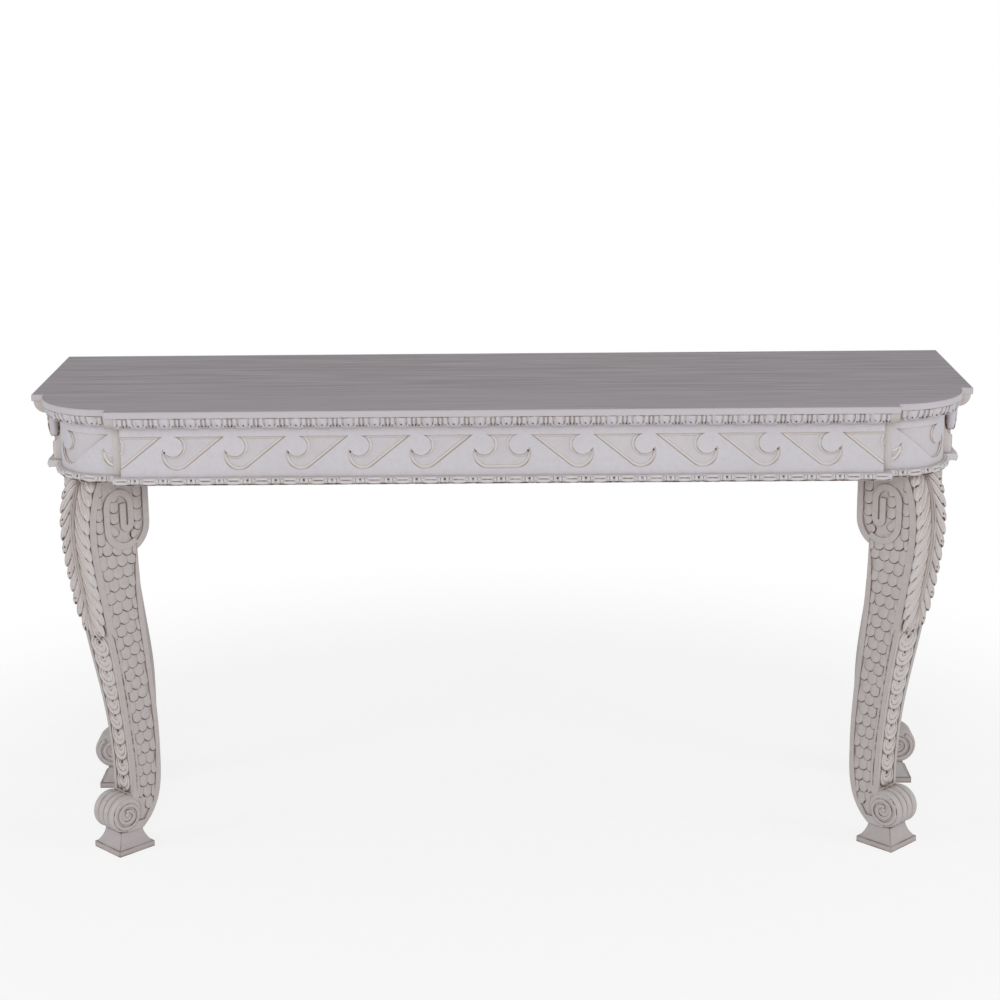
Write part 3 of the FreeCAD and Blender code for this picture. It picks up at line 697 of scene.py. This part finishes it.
# %% [markdown]
# ## Acanthus leaf on the knee
# A long acanthus leaf lies on the knee of each leg. Lobes sweep down from a raised midrib to both edges,
# with a dark mark under each tip: painted shadow. On one half, every second lobe has two drilled holes as
# well, dark drops of glaze and painted shade. The leaf could be sculpted by hand, but then no two legs
# would match. Here each lobe is a squeezed sphere, narrow at its root, with two gouge lines along it. The
# lobes lie on a backing strip with their lower edges proud, and the whole leaf is then bent over the knee.
# The lower edges of the lobes and the strip between them are darkened as painted shade.

# %% One lobe, from its root at the origin to its tip on X, and a dark drop of glaze and painted shade
def ball(shape, columns, rows, size=(1, 1, 1), place=(0, 0, 0)):
    made = bmesh.ops.create_uvsphere(shape, u_segments=columns, v_segments=rows, radius=1.0)["verts"]
    bmesh.ops.scale(shape, verts=made, vec=size)
    bmesh.ops.translate(shape, verts=made, vec=place)
    return made


def lobe_pattern():
    shape, glaze_and_shade = bench()
    made = ball(shape, 16, 12)
    bmesh.ops.transform(shape, verts=made, matrix=turned(90, "Y"))
    for v in made:
        along, across, proud = v.co
        girth = math.hypot(across, proud)
        share = across / girth if girth > 0.01 else 0.0
        gouge = proud > 0 and 0.3 < abs(share) < 0.5
        # Under the tip and along the lower edge: painted shadow. The gouge lines hold a little glaze.
        if share < -0.6 and 0.6 < along < 0.9:
            v[glaze_and_shade] = 1.0
        elif gouge:
            v[glaze_and_shade] = 0.2
        elif share < -0.85:
            v[glaze_and_shade] = 0.4 if -0.4 < along < 0.75 else 0.25
        v.co = Vector((along, across * (0.90 + 0.24 * along), proud * (0.62 if gouge else 1.0)))
    bmesh.ops.translate(shape, verts=made, vec=(1, 0, 0))
    return pattern(shape)


def drop_pattern():
    shape, glaze_and_shade = bench()
    for v in ball(shape, 8, 6, (1.7 * mm, 1.7 * mm, 1.7 * mm)):
        v[glaze_and_shade] = 1.0
    return pattern(shape)


lobe, drop = lobe_pattern(), drop_pattern()
print("lobe and drop:", len(lobe.polygons), len(drop.polygons), "faces")

# %% The leaf, made flat and then bent over the knee
lobe_count, lobe_step, first_tip = 12, 25.2 * mm, 717 * mm
edge_half, end_half, end_share = 36 * mm, 20 * mm, 0.14


def leaf_half(up):
    fall = (leaf_high - up) / (leaf_high - leaf_low)
    return edge_half - (edge_half - end_half) * max(fall - (1 - end_share), 0) / end_share


def lay_lobe(shape, root, degrees, length, width, thick, tilt):
    place = shift(*root) @ turned(degrees, "Z") @ turned(tilt, "X")
    stamp(shape, lobe, place @ Matrix.Diagonal((length / 2, width / 2, thick, 1)))
    return place


def leaf_lobes(shape):
    holes = []
    for step in range(lobe_count):
        tip = first_tip - lobe_step * step
        reach = min(44 * mm, leaf_half(tip + 6 * mm) + 8 * mm)
        root = Vector((3 * mm, min(tip + 60 * mm, leaf_high - 2 * mm), 7.4 * mm))
        run = Vector((reach, tip)) - root.xy
        slant = math.degrees(math.atan2(run.y, run.x))
        place = lay_lobe(shape, root, slant, run.length, width=21 * mm, thick=6.8 * mm, tilt=-15)
        if step % 2:
            holes += [place @ shift(run.length * 0.80, 1.0 * mm, 4.4 * mm),
                      place @ shift(run.length * 0.71, -4.0 * mm, 4.4 * mm)]
    end_root = Vector((2 * mm, 486 * mm, 7.5 * mm))
    for degrees, length in ((-84, 60), (-70, 52)):
        lay_lobe(shape, end_root, degrees, length * mm, width=13 * mm, thick=6.5 * mm, tilt=-8)
    return holes


def leaf_on_bench():
    shape, glaze_and_shade = bench()
    holes = leaf_lobes(shape)
    mirror_copy(shape, "X")
    for hole in holes:
        stamp(shape, drop, mirrored @ hole)
    back = sheet(shape, 1, leaf_high - leaf_low, (leaf_low + leaf_high) / 2, columns=6, rows=24)
    for v in back:
        v.co.x *= 2 * leaf_half(v.co.y)
        # The strip between the lobes is darkened: painted shade.
        v[glaze_and_shade] = 0.35
    strip = list({f for v in back for f in v.link_faces})
    bmesh.ops.solidify(shape, geom=strip, thickness=-9 * mm)
    midrib_root = Vector((0, leaf_high + 8 * mm, 9 * mm))
    lay_lobe(shape, midrib_root, -90, 275 * mm, width=10.5 * mm, thick=9.5 * mm, tilt=0)
    return shape


leaf = leaf_on_bench()
for v in leaf.verts:
    v.co.y = within(v.co.y, leaf_low - 13 * mm, leaf_high - 0.5 * mm)
    v.co.z *= 0.72 + 0.38 * (v.co.y - leaf_low) / (leaf_high - leaf_low)
lay_on_front(leaf)
at_each_leg("acanthus", leaf, carved_paint, "leaf")

# %% [markdown]
# ## Scrolls on the feet
# Each foot is a roll of ridges, and on its two flat ends a band winds in to an eye. A spiral could be drawn
# from points, but a compass does it as joiners did: half circles about two centres in turn, each a little
# smaller. So a half-round section is spun by half turns about the two centres, and its two ends are closed.
# The grooves between the ridges each hold a thin dark ring: glaze and the painted shade of the groove. A
# ring is a flat grid rolled up both ways. The band's lower sides and the eye are darkened the same way.

# %% Spiral band and eye for the ends of the roll
def closed_section(shape, points):
    verts = [shape.verts.new(point) for point in points]
    section = [shape.edges.new(pair) for pair in zip(verts, verts[1:] + verts[:1])]
    shape.faces.new(verts)
    return section


def half_turn(shape, section, centre, steps):
    spun = bmesh.ops.spin(shape, geom=section, cent=centre, axis=(0, 0, 1), angle=math.pi, steps=steps)
    return only(bmesh.types.BMEdge, spun["geom_last"])


def add_scroll(shape, first_radius, closer, turns, width, height):
    outline = [(-0.5, -0.5), (-0.46, 0.45), (-0.24, 0.9), (0.24, 0.9), (0.46, 0.45), (0.5, -0.5)]
    section = closed_section(shape, [(first_radius + across * width, 0, proud * height)
                                     for across, proud in outline])
    centre = 0.0
    for toward in (-1, 1) * turns:
        section = half_turn(shape, section, (centre, 0, 0), 16)
        centre += toward * closer / 2
    bmesh.ops.edgeloop_fill(shape, edges=section)


def scroll_end():
    shape, glaze_and_shade = bench()
    add_scroll(shape, 27.4 * mm, closer=10.6 * mm, turns=2, width=7.8 * mm, height=3.0 * mm)
    ball(shape, 16, 8, (6 * mm, 6 * mm, 3 * mm))
    for v in shape.verts:
        # Lower sides of the band and the eye: glaze and painted shade.
        v[glaze_and_shade] = 1.2 if v.co.z < 0 else 0.65 if v.co.z < 2 * mm else 0.0
    return shape


scroll = scroll_end()
print("one scroll end:", len(scroll.faces), "faces")

# %% Dark rings in the grooves, and the scrolls in place
groove_radius, groove_gap = 31.5 * mm, 15.4 * mm


def ring_pattern(radius, thick, half_width):
    shape, glaze_and_shade = bench()
    for v in sheet(shape, 1, 1, 0, columns=40, rows=6):
        turn, roll = 2 * math.pi * v.co.x, 2 * math.pi * v.co.y
        out = radius + thick * math.cos(roll)
        v.co = Vector((out * math.cos(turn), half_width * math.sin(roll), out * math.sin(turn)))
        v[glaze_and_shade] = 1.0
    weld(shape)
    return pattern(shape)


scroll.transform(shift(roll_out, roll_half, roll_up) @ turned(-90, "X") @ turned(-60, "Z"))
mirror_copy(scroll, "Y")
groove_ring = ring_pattern(groove_radius, thick=1.6 * mm, half_width=2.0 * mm)
for groove in (-groove_gap, 0.0, groove_gap):
    stamp(scroll, groove_ring, shift(roll_out, groove, roll_up))
at_each_leg("scrolls", scroll, leg_paint)

# %% [markdown]
# ## Egg and dart on the cornice
# The quarter round under the top is carved with eggs in U-shaped shells, with a thin dart between each pair
# and small drilled holes low down. The carver repeats one pattern by eye. One unit is modelled flat,
# repeated along a run, and then laid round the moulding's section, straight along the front and sides and
# bent round the corners. The holes are dark drops and the shells' feet are browned: glaze and painted
# shade. A thin dark cord is the painted shadow line above the eggs: a flat grid rolled up into a tube.

# %% Round the section of a moulding, and along its run
def circle_through(a, b, c):
    (ax, ay), (bx, by), (cx, cy) = a, b, c
    aa, bb, cc = ax * ax + ay * ay, bx * bx + by * by, cx * cx + cy * cy
    d = 2 * (ax * (by - cy) + bx * (cy - ay) + cx * (ay - by))
    x = (aa * (by - cy) + bb * (cy - ay) + cc * (ay - by)) / d
    y = (aa * (cx - bx) + bb * (ax - cx) + cc * (bx - ax)) / d
    return Vector((x, y)), math.hypot(ax - x, ay - y)


def lay_round(shape, circle, plan):
    middle, radius = circle
    for v in shape.verts:
        turn = v.co.y / radius
        out, up = middle + Vector((math.cos(turn), math.sin(turn))) * (radius + v.co.z)
        v.co = Vector((*plan(v.co.x, out), up))


def front_plan(along, out):
    return along, front_line - out


def side_plan(along, out):
    return side_line - out, along


def corner_plan(length):
    def plan(along, out):
        turn = math.pi * (1.5 - 0.5 * along / length)
        radius = corner_radius + out
        return corner_middle.x + math.cos(turn) * radius, corner_middle.y + math.sin(turn) * radius

    return plan


cornice_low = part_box("cornice_front")[0].z
cornice_root, cornice_deep, cornice_tall = 3 * mm, 23 * mm, 20 * mm


def cornice_at(degrees):
    turn = math.radians(degrees)
    return cornice_root + cornice_deep * math.sin(turn), cornice_low + cornice_tall * (1 - math.cos(turn))


cornice_circle = circle_through(cornice_at(90), cornice_at(45), cornice_at(0))
print("cornice section: radius", round(cornice_circle[1], 4))

# %% One egg with its shell, and a dart
shell_straight = 9 * mm
shell_outline = [(-18.9, -1.2), (-18.2, 2.0), (-14.6, 2.7), (-11.4, 2.2), (-10.2, -1.2)]


def draw_straight(shape, section, length):
    drawn = bmesh.ops.extrude_edge_only(shape, edges=section)["geom"]
    ends = only(bmesh.types.BMVert, drawn)
    bmesh.ops.translate(shape, verts=ends, vec=(0, length, 0))
    return [edge for edge in only(bmesh.types.BMEdge, drawn) if all(v in ends for v in edge.verts)]


def shell_pattern():
    shape, glaze_and_shade = bench()
    rounded_tile(shape, 17 * mm, 26 * mm, middle=-9.5 * mm, up=-1.2 * mm, corner=8 * mm,
                 thick=2.6 * mm, crown=((2.4, 1.1), (2.6, 0.5)))
    section = closed_section(shape, [(across * mm, 0, proud * mm) for across, proud in shell_outline])
    section = draw_straight(shape, section, -shell_straight)
    section = half_turn(shape, section, (0, -shell_straight, 0), 10)
    bmesh.ops.edgeloop_fill(shape, edges=draw_straight(shape, section, shell_straight))
    for v in shape.verts:
        v[glaze_and_shade] = 0.55 if v.co.z < -0.5 * mm else 0.0
    return pattern(shape)


def dart_pattern():
    shape = bench()[0]
    ball(shape, 10, 8, (2.8 * mm, 15 * mm, 3.0 * mm), (0, -9 * mm, 0))
    return pattern(shape)


shell, dart = shell_pattern(), dart_pattern()
print("shell and dart:", len(shell.polygons), len(dart.polygons), "faces")

# %% A run of eggs and darts with drilled holes, under a dark cord of painted shadow
egg_holes = ((-14.5, -15), (14.5, -15), (0.5, -14), (-20.5, -15.5), (20.5, -15.5))


def close_holes(shape):
    bmesh.ops.holes_fill(shape, edges=[edge for edge in shape.edges if edge.is_boundary])


# A dark tube: the painted shadow line along a moulding.
def shadow_cord_pattern(first, last, along, proud, radius):
    shape, glaze_and_shade = bench()
    steps = round((last - first) / (10 * mm))
    for v in sheet(shape, 1, 1, 0, columns=steps, rows=8):
        roll = 2 * math.pi * v.co.y
        v.co = Vector(((first + last) / 2 + v.co.x * (last - first), along + radius * math.cos(roll),
                       proud + radius * math.sin(roll)))
        v[glaze_and_shade] = 0.75
    weld(shape)
    close_holes(shape)
    return pattern(shape)


def egg_run(count, pitch, start, first, last):
    shape = bench()[0]
    shadow_cord = shadow_cord_pattern(first, last, along=0.2 * mm, proud=2.8 * mm, radius=0.9 * mm)
    stamp(shape, shadow_cord)
    for i in range(count):
        middle = start + i * pitch
        stamp(shape, shell, shift(middle, 0, 0))
        for x, y in egg_holes:
            stamp(shape, drop, shift(middle + x * mm, y * mm, 2.2 * mm) @ Matrix.Scale(0.85, 4))
        if i < count - 1:
            stamp(shape, dart, shift(middle + pitch / 2, 0, 0))
    return shape


egg_bend = 198 * mm
corner_eggs = egg_run(4, egg_bend / 4, egg_bend / 8, 0.0, egg_bend)
print("eggs round a corner:", len(corner_eggs.faces), "faces")

# %% Eggs along the front, round the corners and along the sides
egg_pitch, eggs_end = 46.4 * mm, 684 * mm
middle_egg, run_back = 8.2 * mm, 252 * mm


def saw(shape, place, outward):
    bmesh.ops.bisect_plane(shape, geom=everything(shape), plane_co=place, plane_no=outward, clear_outer=True)


def with_mirror(name, shape, finish, *replaced):
    for side in ("left", "right"):
        copy = shape.copy()
        if side == "right":
            copy.transform(mirrored)
        piece(name + "_" + side, copy, finish, *[node + "_" + side for node in replaced])
    shape.free()


def lay_runs(name, finish, circle, front, corner, bend, side):
    lay_round(front, circle, front_plan)
    piece(name + "_front", front, finish)
    lay_round(corner, circle, corner_plan(bend))
    with_mirror(name + "_corner", corner, finish)
    lay_round(side, circle, side_plan)
    with_mirror(name + "_side", side, finish)


front_eggs = egg_run(31, egg_pitch, middle_egg - 15 * egg_pitch, -eggs_end, eggs_end)
for end in (-1, 1):
    saw(front_eggs, (end * eggs_end, 0, 0), (end, 0, 0))
close_holes(front_eggs)
side_eggs = egg_run(7, egg_pitch, corner_middle.y + 40 * mm, corner_middle.y + 2 * mm, run_back)
lay_runs("cornice_eggs", apron_paint, cornice_circle, front_eggs, corner_eggs, egg_bend, side_eggs)

# %% [markdown]
# ## Ribbon bead under the frieze
# The small round bead along the bottom is carved as a twisted ribbon: long leaves with a line down the
# middle, and between them a pair of small curls with a drilled hole. The curls and lips are squeezed
# spheres, and each hole, like the gaps under the curls, is a small dark one: glaze and painted shade. A
# thin dark cord below is the bead's painted shadow line. One unit is laid round the bead's section again
# and again.

# %% One curl pair and one ribbon leaf
def lumps(*wanted):
    shape, glaze_and_shade = bench()
    for x, y, wide, tall, proud, dark in wanted:
        for v in ball(shape, 10, 6, (wide * mm, tall * mm, proud * mm), (x * mm, y * mm, 0)):
            v[glaze_and_shade] = dark
    return pattern(shape)


# Lumps with a dark value of 1.0 are the hole and the gaps under the curls: glaze and painted shade.
curl_sides = [(side * x, *rest) for side in (-1, 1)
              for x, *rest in ((4.6, 1.0, 3.4, 6.0, 2.9, 0.0), (10.2, 1.8, 2.4, 4.6, 2.4, 0.0),
                               (7.4, -6.0, 1.7, 2.0, 1.4, 1.0))]
curls = lumps(*curl_sides, (0, 2.2, 1.6, 1.9, 1.9, 1.0))
ribbon = lumps((0, 4.3, 13.6, 3.0, 2.2, 0.0), (0, -3.0, 14.2, 3.6, 2.4, 0.0),
               (0, 0.9, 12.0, 0.7, 0.8, 0.42))
print("curls and ribbon:", len(curls.polygons), len(ribbon.polygons), "faces")

# %% Bead along the front, round the corners and along the sides
bead_pitch, bead_end, bead_bend = 50.2 * mm, 692 * mm, 178 * mm
bead_low, bead_high = [corner.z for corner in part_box("bead_front")]
bead_root, bead_proud = 3.5 * mm, 9.5 * mm
leaf_clear = 12 * mm


def bead_run(count, start, first, last):
    shape = bench()[0]
    shadow_cord = shadow_cord_pattern(first, last, along=-7.1 * mm, proud=0.9 * mm, radius=1.1 * mm)
    stamp(shape, shadow_cord)
    for i in range(count):
        stamp(shape, curls, shift(start + i * bead_pitch, 0, 0))
    for i in range(-1, count):
        middle = start + (i + 0.5) * bead_pitch
        if first + leaf_clear < middle < last - leaf_clear:
            stamp(shape, ribbon, shift(middle, 0, 0))
    return shape


bead_circle = circle_through((bead_root, bead_high), (bead_proud, (bead_low + bead_high) / 2),
                             (bead_root, bead_low))
front_bead = bead_run(27, -13 * bead_pitch - 1.5 * mm, -bead_end, bead_end)
corner_bead = bead_run(4, 14 * mm, 0.0, bead_bend)
side_bead = bead_run(7, corner_middle.y + 34 * mm, corner_middle.y + 10 * mm, run_back)
lay_runs("bead_ribbon", bead_paint, bead_circle, front_bead, corner_bead, bead_bend, side_bead)

# %% [markdown]
# ## Oval boss on the end of each side rail
# The front end of each side rail carries a smooth oval boss, half of an egg. In the CAD model it is turned
# in straight steps. Here it is carved smooth: a sphere is stretched to the same box, and its back half is
# sawn off. It narrows a little downwards, and a second, flatter one behind it makes the brown rim round the
# boss: glaze and the painted shade of the gap round it.

# %% Smooth boss with a rim
def carved_boss():
    low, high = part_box("end_boss_left")
    middle, half = (low + high) / 2, (high - low) / 2
    shape, glaze_and_shade = bench()
    # The second, flatter ball is the brown rim: glaze and painted shade.
    for wide, deep, tall, rise, dark in ((1.0, 1.0, 1.0, 0.0, 0.0), (1.30, 0.55, 1.14, 2 * mm, 0.75)):
        made = ball(shape, 28, 18)
        for v in made:
            v.co.x *= max(1 - v.co.z ** 2, 0.02) ** -0.35 * (0.9 + 0.14 * v.co.z)
            v[glaze_and_shade] = dark
        bmesh.ops.scale(shape, verts=made, vec=(half.x * wide, half.y * 2 * deep, half.z * tall))
        bmesh.ops.translate(shape, verts=made, vec=(middle.x, high.y, middle.z + rise))
    saw(shape, (0, high.y, 0), (0, 1, 0))
    close_holes(shape)
    return shape


with_mirror("boss", carved_boss(), apron_paint, "end_boss")

# %% [markdown]
# ## Filled joints
# Where the front rail meets the round corner, the recess beside the rail's end was filled and painted over,
# and the filler shows a little creamier than the paint. It is a thin upright strip on the corner piece: a
# cube scaled flat, with its edges bevelled.

# %% Strip of filler beside the rail's ends
filler = white_paint("joint_filler", colour(198, 193, 193), colour(186, 178, 174), colour(168, 156, 146),
                     colour(188, 180, 175), reach=3 * mm, darken_from=0.80)
filler_width, filler_proud, filler_sunk = 17 * mm, 0.7 * mm, 1.0 * mm


def filled_joint():
    rail_end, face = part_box("frieze_front")[0].x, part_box("frieze_corner_left")[0].y
    low = Vector((rail_end - filler_width, face - filler_proud, bead_high - 0.5 * mm))
    high = Vector((rail_end, face + filler_sunk, cornice_low))
    shape = bench()[0]
    made = bmesh.ops.create_cube(shape, size=1.0)["verts"]
    bmesh.ops.scale(shape, verts=made, vec=high - low)
    bmesh.ops.translate(shape, verts=made, vec=(low + high) / 2)
    upright = [edge for edge in shape.edges if abs(edge.verts[0].co.z - edge.verts[1].co.z) > 10 * mm]
    bmesh.ops.bevel(shape, geom=upright, offset=filler_proud, offset_type="OFFSET", segments=2, profile=0.5,
                    affect="EDGES", material=-1)
    return shape


with_mirror("joint_filler", filled_joint(), filler)

# %% [markdown]
# ## Glaze and painted shade in the scroll's points
# Each pocket of the wave scroll ends in a sharp point beside its round island. The rag can't reach into it,
# and shade falls deep in it, so a dark drop stays there: glaze and painted shade. It is the same small drop
# as on the leaf, pressed flat.

# %% Drops at the points of the pockets
wave_pitch, wave_count = 110.5 * mm, 5
middle_point, first_point, point_up = -49.2 * mm, -161.7 * mm, 801.5 * mm
corner_point = (-714.2 * mm, -207.3 * mm)


def glaze_and_shade_drops():
    shape = bench()[0]
    fronts = [middle_point] + [first_point - i * wave_pitch for i in range(wave_count)]
    for across, depth in [(point, front_line) for point in fronts] + [corner_point]:
        place = shift(across + 3.0 * mm, depth + 0.9 * mm, point_up)
        stamp(shape, drop, place @ Matrix.Diagonal((1.1, 0.8, 1.6, 1)))
    return shape


with_mirror("glaze_and_shade_drops", glaze_and_shade_drops(), apron_paint)

# %% [markdown]
# ## Floor, light and camera
# The photograph is a studio cut-out: white all round, soft light from the front and both sides, no hard
# shadow. The floor is a plain pale sheet that keeps a soft shadow near the feet and fades to white further
# out.

# %% Floor
white = (1.0, 1.0, 1.0, 1.0)
floor_radius = 60.0


def seen_by(start, ray):
    return start.add("ShaderNodeLightPath", {}, {}, f"Is {ray} Ray")


def floor_finish():
    material, shader, place = new_finish("pale_floor")
    glow = place.add("ShaderNodeEmission", {}, {"Color": white, "Strength": 1.0})
    faded = 0.8 + place.length().step(0.9, 1.9) * 0.2
    share = faded * (seen_by(place, "Camera") + seen_by(place, "Glossy"))
    sheet_paint = Mask(place.tree, shader.outputs[0])
    mixed = place.add("ShaderNodeMixShader", {}, {0: share, 1: sheet_paint, 2: glow})
    mixed.into(place.tree.nodes["Material Output"], "Surface")
    speck = place.noise(30.0, 2.0)
    speck.step(0.2, 0.8).over(colour(246, 246, 246), colour(250, 250, 250)).into(shader, "Base Color")
    shader.inputs["Roughness"].default_value = 0.9
    shader.inputs["Specular IOR Level"].default_value = 0.0
    return material


disc = bmesh.new()
bmesh.ops.create_circle(disc, cap_ends=True, segments=96, radius=floor_radius)
floor_mesh = bpy.data.meshes.new("floor")
disc.to_mesh(floor_mesh)
disc.free()
floor_mesh.materials.append(floor_finish())
floor = bpy.data.objects.new("floor", floor_mesh)
bpy.context.scene.collection.objects.link(floor)
print("floor laid")

# %% World and lamps
def studio_world():
    world = bpy.data.worlds.new("studio")
    bpy.context.scene.world = world
    world.use_nodes = True
    back = world.node_tree.nodes["Background"]
    start = Mask(world.node_tree)
    camera, gloss, glass = [seen_by(start, ray) for ray in ("Camera", "Glossy", "Transmission")]
    (0.40 + (camera + gloss + glass).step(0.0, 1.0) * 0.60).into(back, "Strength")
    back.inputs["Color"].default_value = white


def softbox(name, place, aim, size, power):
    lamp = bpy.data.lights.new(name, "AREA")
    lamp.shape, lamp.size, lamp.energy = "DISK", size, power
    stand = bpy.data.objects.new(name, lamp)
    stand.location = place
    stand.rotation_euler = (Vector(aim) - Vector(place)).to_track_quat("-Z", "Y").to_euler()
    bpy.context.scene.collection.objects.link(stand)


studio_world()
softbox("front_light", (0.0, -4.8, 2.3), (0.0, 0.0, 0.55), 2.8, 84.0)
softbox("left_light", (-3.6, -1.6, 1.6), (0.0, 0.0, 0.5), 1.6, 25.0)
softbox("right_light", (3.6, -1.6, 1.6), (0.0, 0.0, 0.5), 1.6, 30.0)
print("lamps set")

# %% Camera at the photograph's place
yaw, pitch, roll = -0.005, 0.2571, -0.0085
camera_place = (0.0151, -4.0708, 1.7200)
sensor_width, lens_length, see_far = 36.0, 79.914, 200.0


def photo_camera():
    ahead = Vector((math.sin(yaw) * math.cos(pitch), math.cos(yaw) * math.cos(pitch), -math.sin(pitch)))
    level = Vector((math.cos(yaw), -math.sin(yaw), 0.0))
    rise = level.cross(ahead)
    right = math.cos(roll) * level + math.sin(roll) * rise
    above = math.cos(roll) * rise - math.sin(roll) * level
    lens = bpy.data.cameras.new("camera")
    lens.sensor_width, lens.lens, lens.clip_end = sensor_width, lens_length, see_far
    camera = bpy.data.objects.new("camera", lens)
    turn = Matrix((right, above, -ahead)).transposed().to_4x4()
    camera.matrix_world = shift(*camera_place) @ turn
    bpy.context.scene.collection.objects.link(camera)
    bpy.context.scene.camera = camera


photo_camera()
bpy.context.scene.view_settings.view_transform = "Standard"
print("camera placed")
